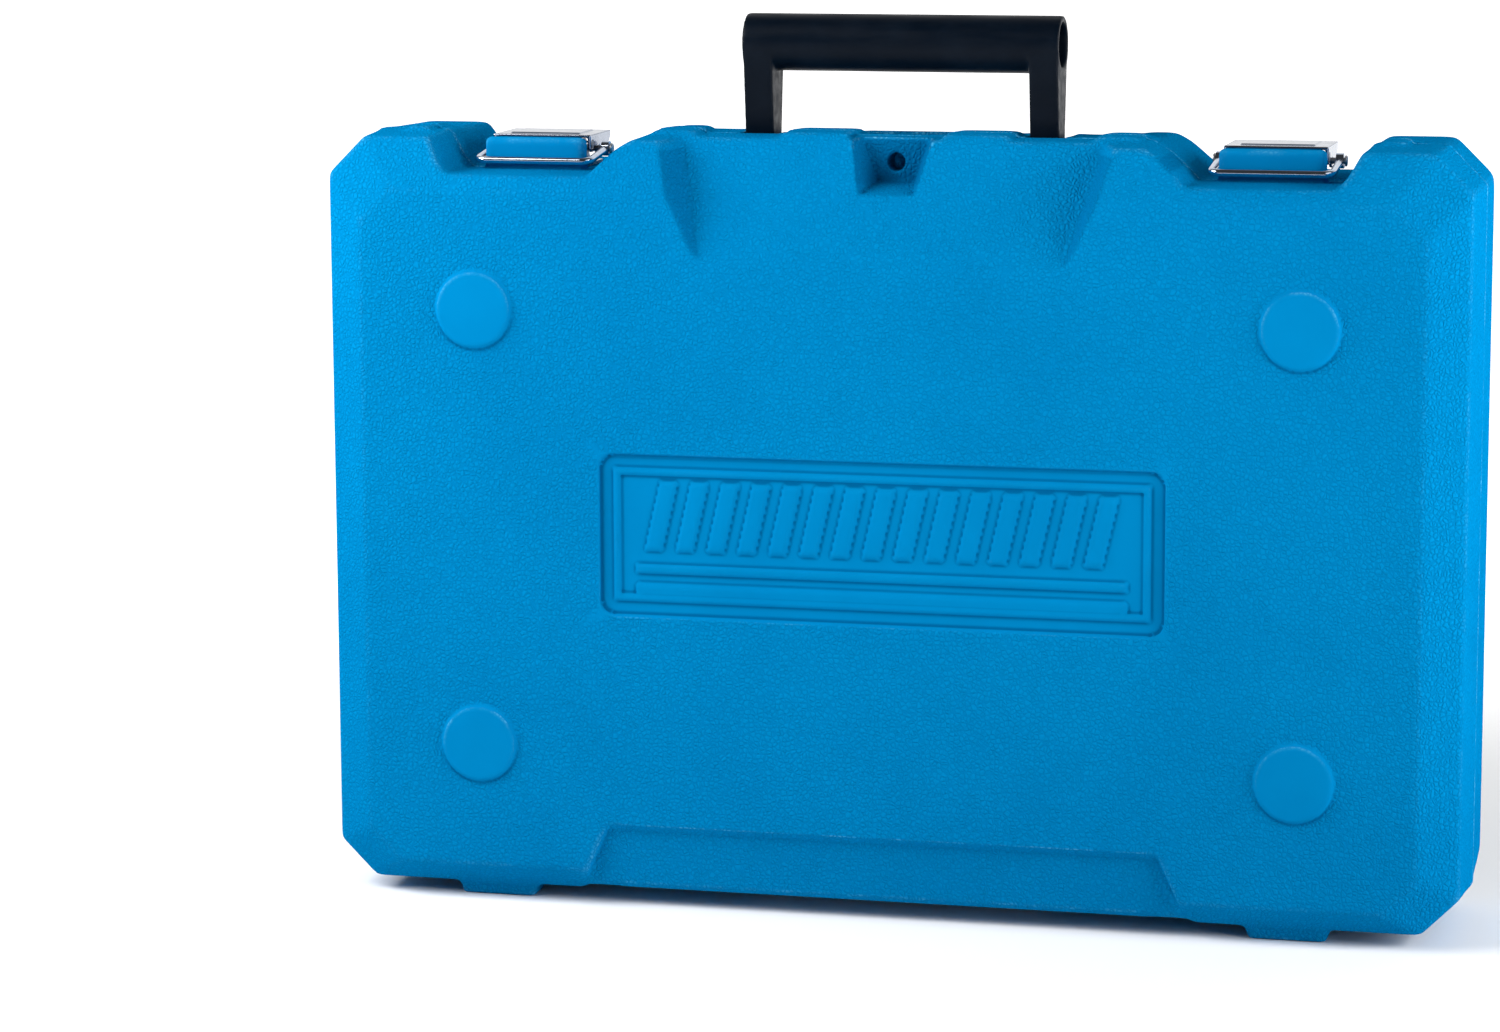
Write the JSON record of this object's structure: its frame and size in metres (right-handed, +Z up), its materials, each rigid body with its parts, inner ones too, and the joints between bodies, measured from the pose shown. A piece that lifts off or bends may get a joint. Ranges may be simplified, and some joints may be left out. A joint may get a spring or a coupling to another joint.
{
  "type": "power tool carry case",
  "caption": "Hard carry case with a hinged lid, a folding handle, over-centre draw latches, padlock tabs and a nest for a rotary hammer.",
  "frame": {"origin": "on the ground under the middle of the case, at the centre of its footprint", "axes": "+X to the right seen from the lid side, +Y from the lid to the back, +Z up"},
  "size_m": [0.456, 0.1056, 0.3537],
  "materials": {
    "case_plastic": "blow-moulded, leather grain",
    "handle_plastic": "moulded satin",
    "lever_plate": "bright plated",
    "bail_wire": "bright plated",
    "base_steel": "zinc plated",
    "rivet_steel": "zinc plated",
    "pin_steel": "plain"
  },
  "bodies": {
    "base": {"rear_shell": "case_plastic", "handle_pin_left": "pin_steel", "hinge_pin_left": "pin_steel", "latch_base_left": "base_steel", "latch_hinge_pin_left": "pin_steel", "latch_rivets_left": "rivet_steel", "latch_washers_left": "rivet_steel", "handle_pin_right": "pin_steel", "hinge_pin_right": "pin_steel", "latch_base_right": "base_steel", "latch_hinge_pin_right": "pin_steel", "latch_rivets_right": "rivet_steel", "latch_washers_right": "rivet_steel"},
    "lid": {"front_shell": "case_plastic"},
    "handle": {"handle": "handle_plastic"},
    "lever_left": {"latch_lever_left": "lever_plate", "latch_bail_pin_left": "pin_steel"},
    "bail_left": {"latch_bail_left": "bail_wire"},
    "lever_right": {"latch_lever_right": "lever_plate", "latch_bail_pin_right": "pin_steel"},
    "bail_right": {"latch_bail_right": "bail_wire"}
  },
  "joints": [
    {"name": "lid_hinge", "type": "hinge", "parent": "base", "child": "lid", "pos_m": [0, -0.011, 0.0043], "axis": [1, 0, 0], "range_deg": [0, 160]},
    {"name": "handle_fold", "type": "hinge", "parent": "base", "child": "handle", "pos_m": [0, -0.0035, 0.3], "axis": [-1, 0, 0], "range_deg": [0, 90]},
    {"name": "lever_left_turn", "type": "hinge", "parent": "base", "child": "lever_left", "pos_m": [-0.147, -0.006, 0.301], "axis": [1, 0, 0], "range_deg": [0, 115]},
    {"name": "bail_left_turn", "type": "hinge", "parent": "lever_left", "child": "bail_left", "pos_m": [-0.147, 0.003, 0.2988], "axis": [1, 0, 0], "range_deg": [-115, 0]},
    {"name": "lever_right_turn", "type": "hinge", "parent": "base", "child": "lever_right", "pos_m": [0.147, -0.006, 0.301], "axis": [1, 0, 0], "range_deg": [0, 115]},
    {"name": "bail_right_turn", "type": "hinge", "parent": "lever_right", "child": "bail_right", "pos_m": [0.147, 0.003, 0.2988], "axis": [1, 0, 0], "range_deg": [-115, 0]}
  ],
  "couplings": [
    {"joint": "bail_left_turn", "follows": "lever_left_turn", "ratio": -1},
    {"joint": "bail_right_turn", "follows": "lever_right_turn", "ratio": -1}
  ]
}
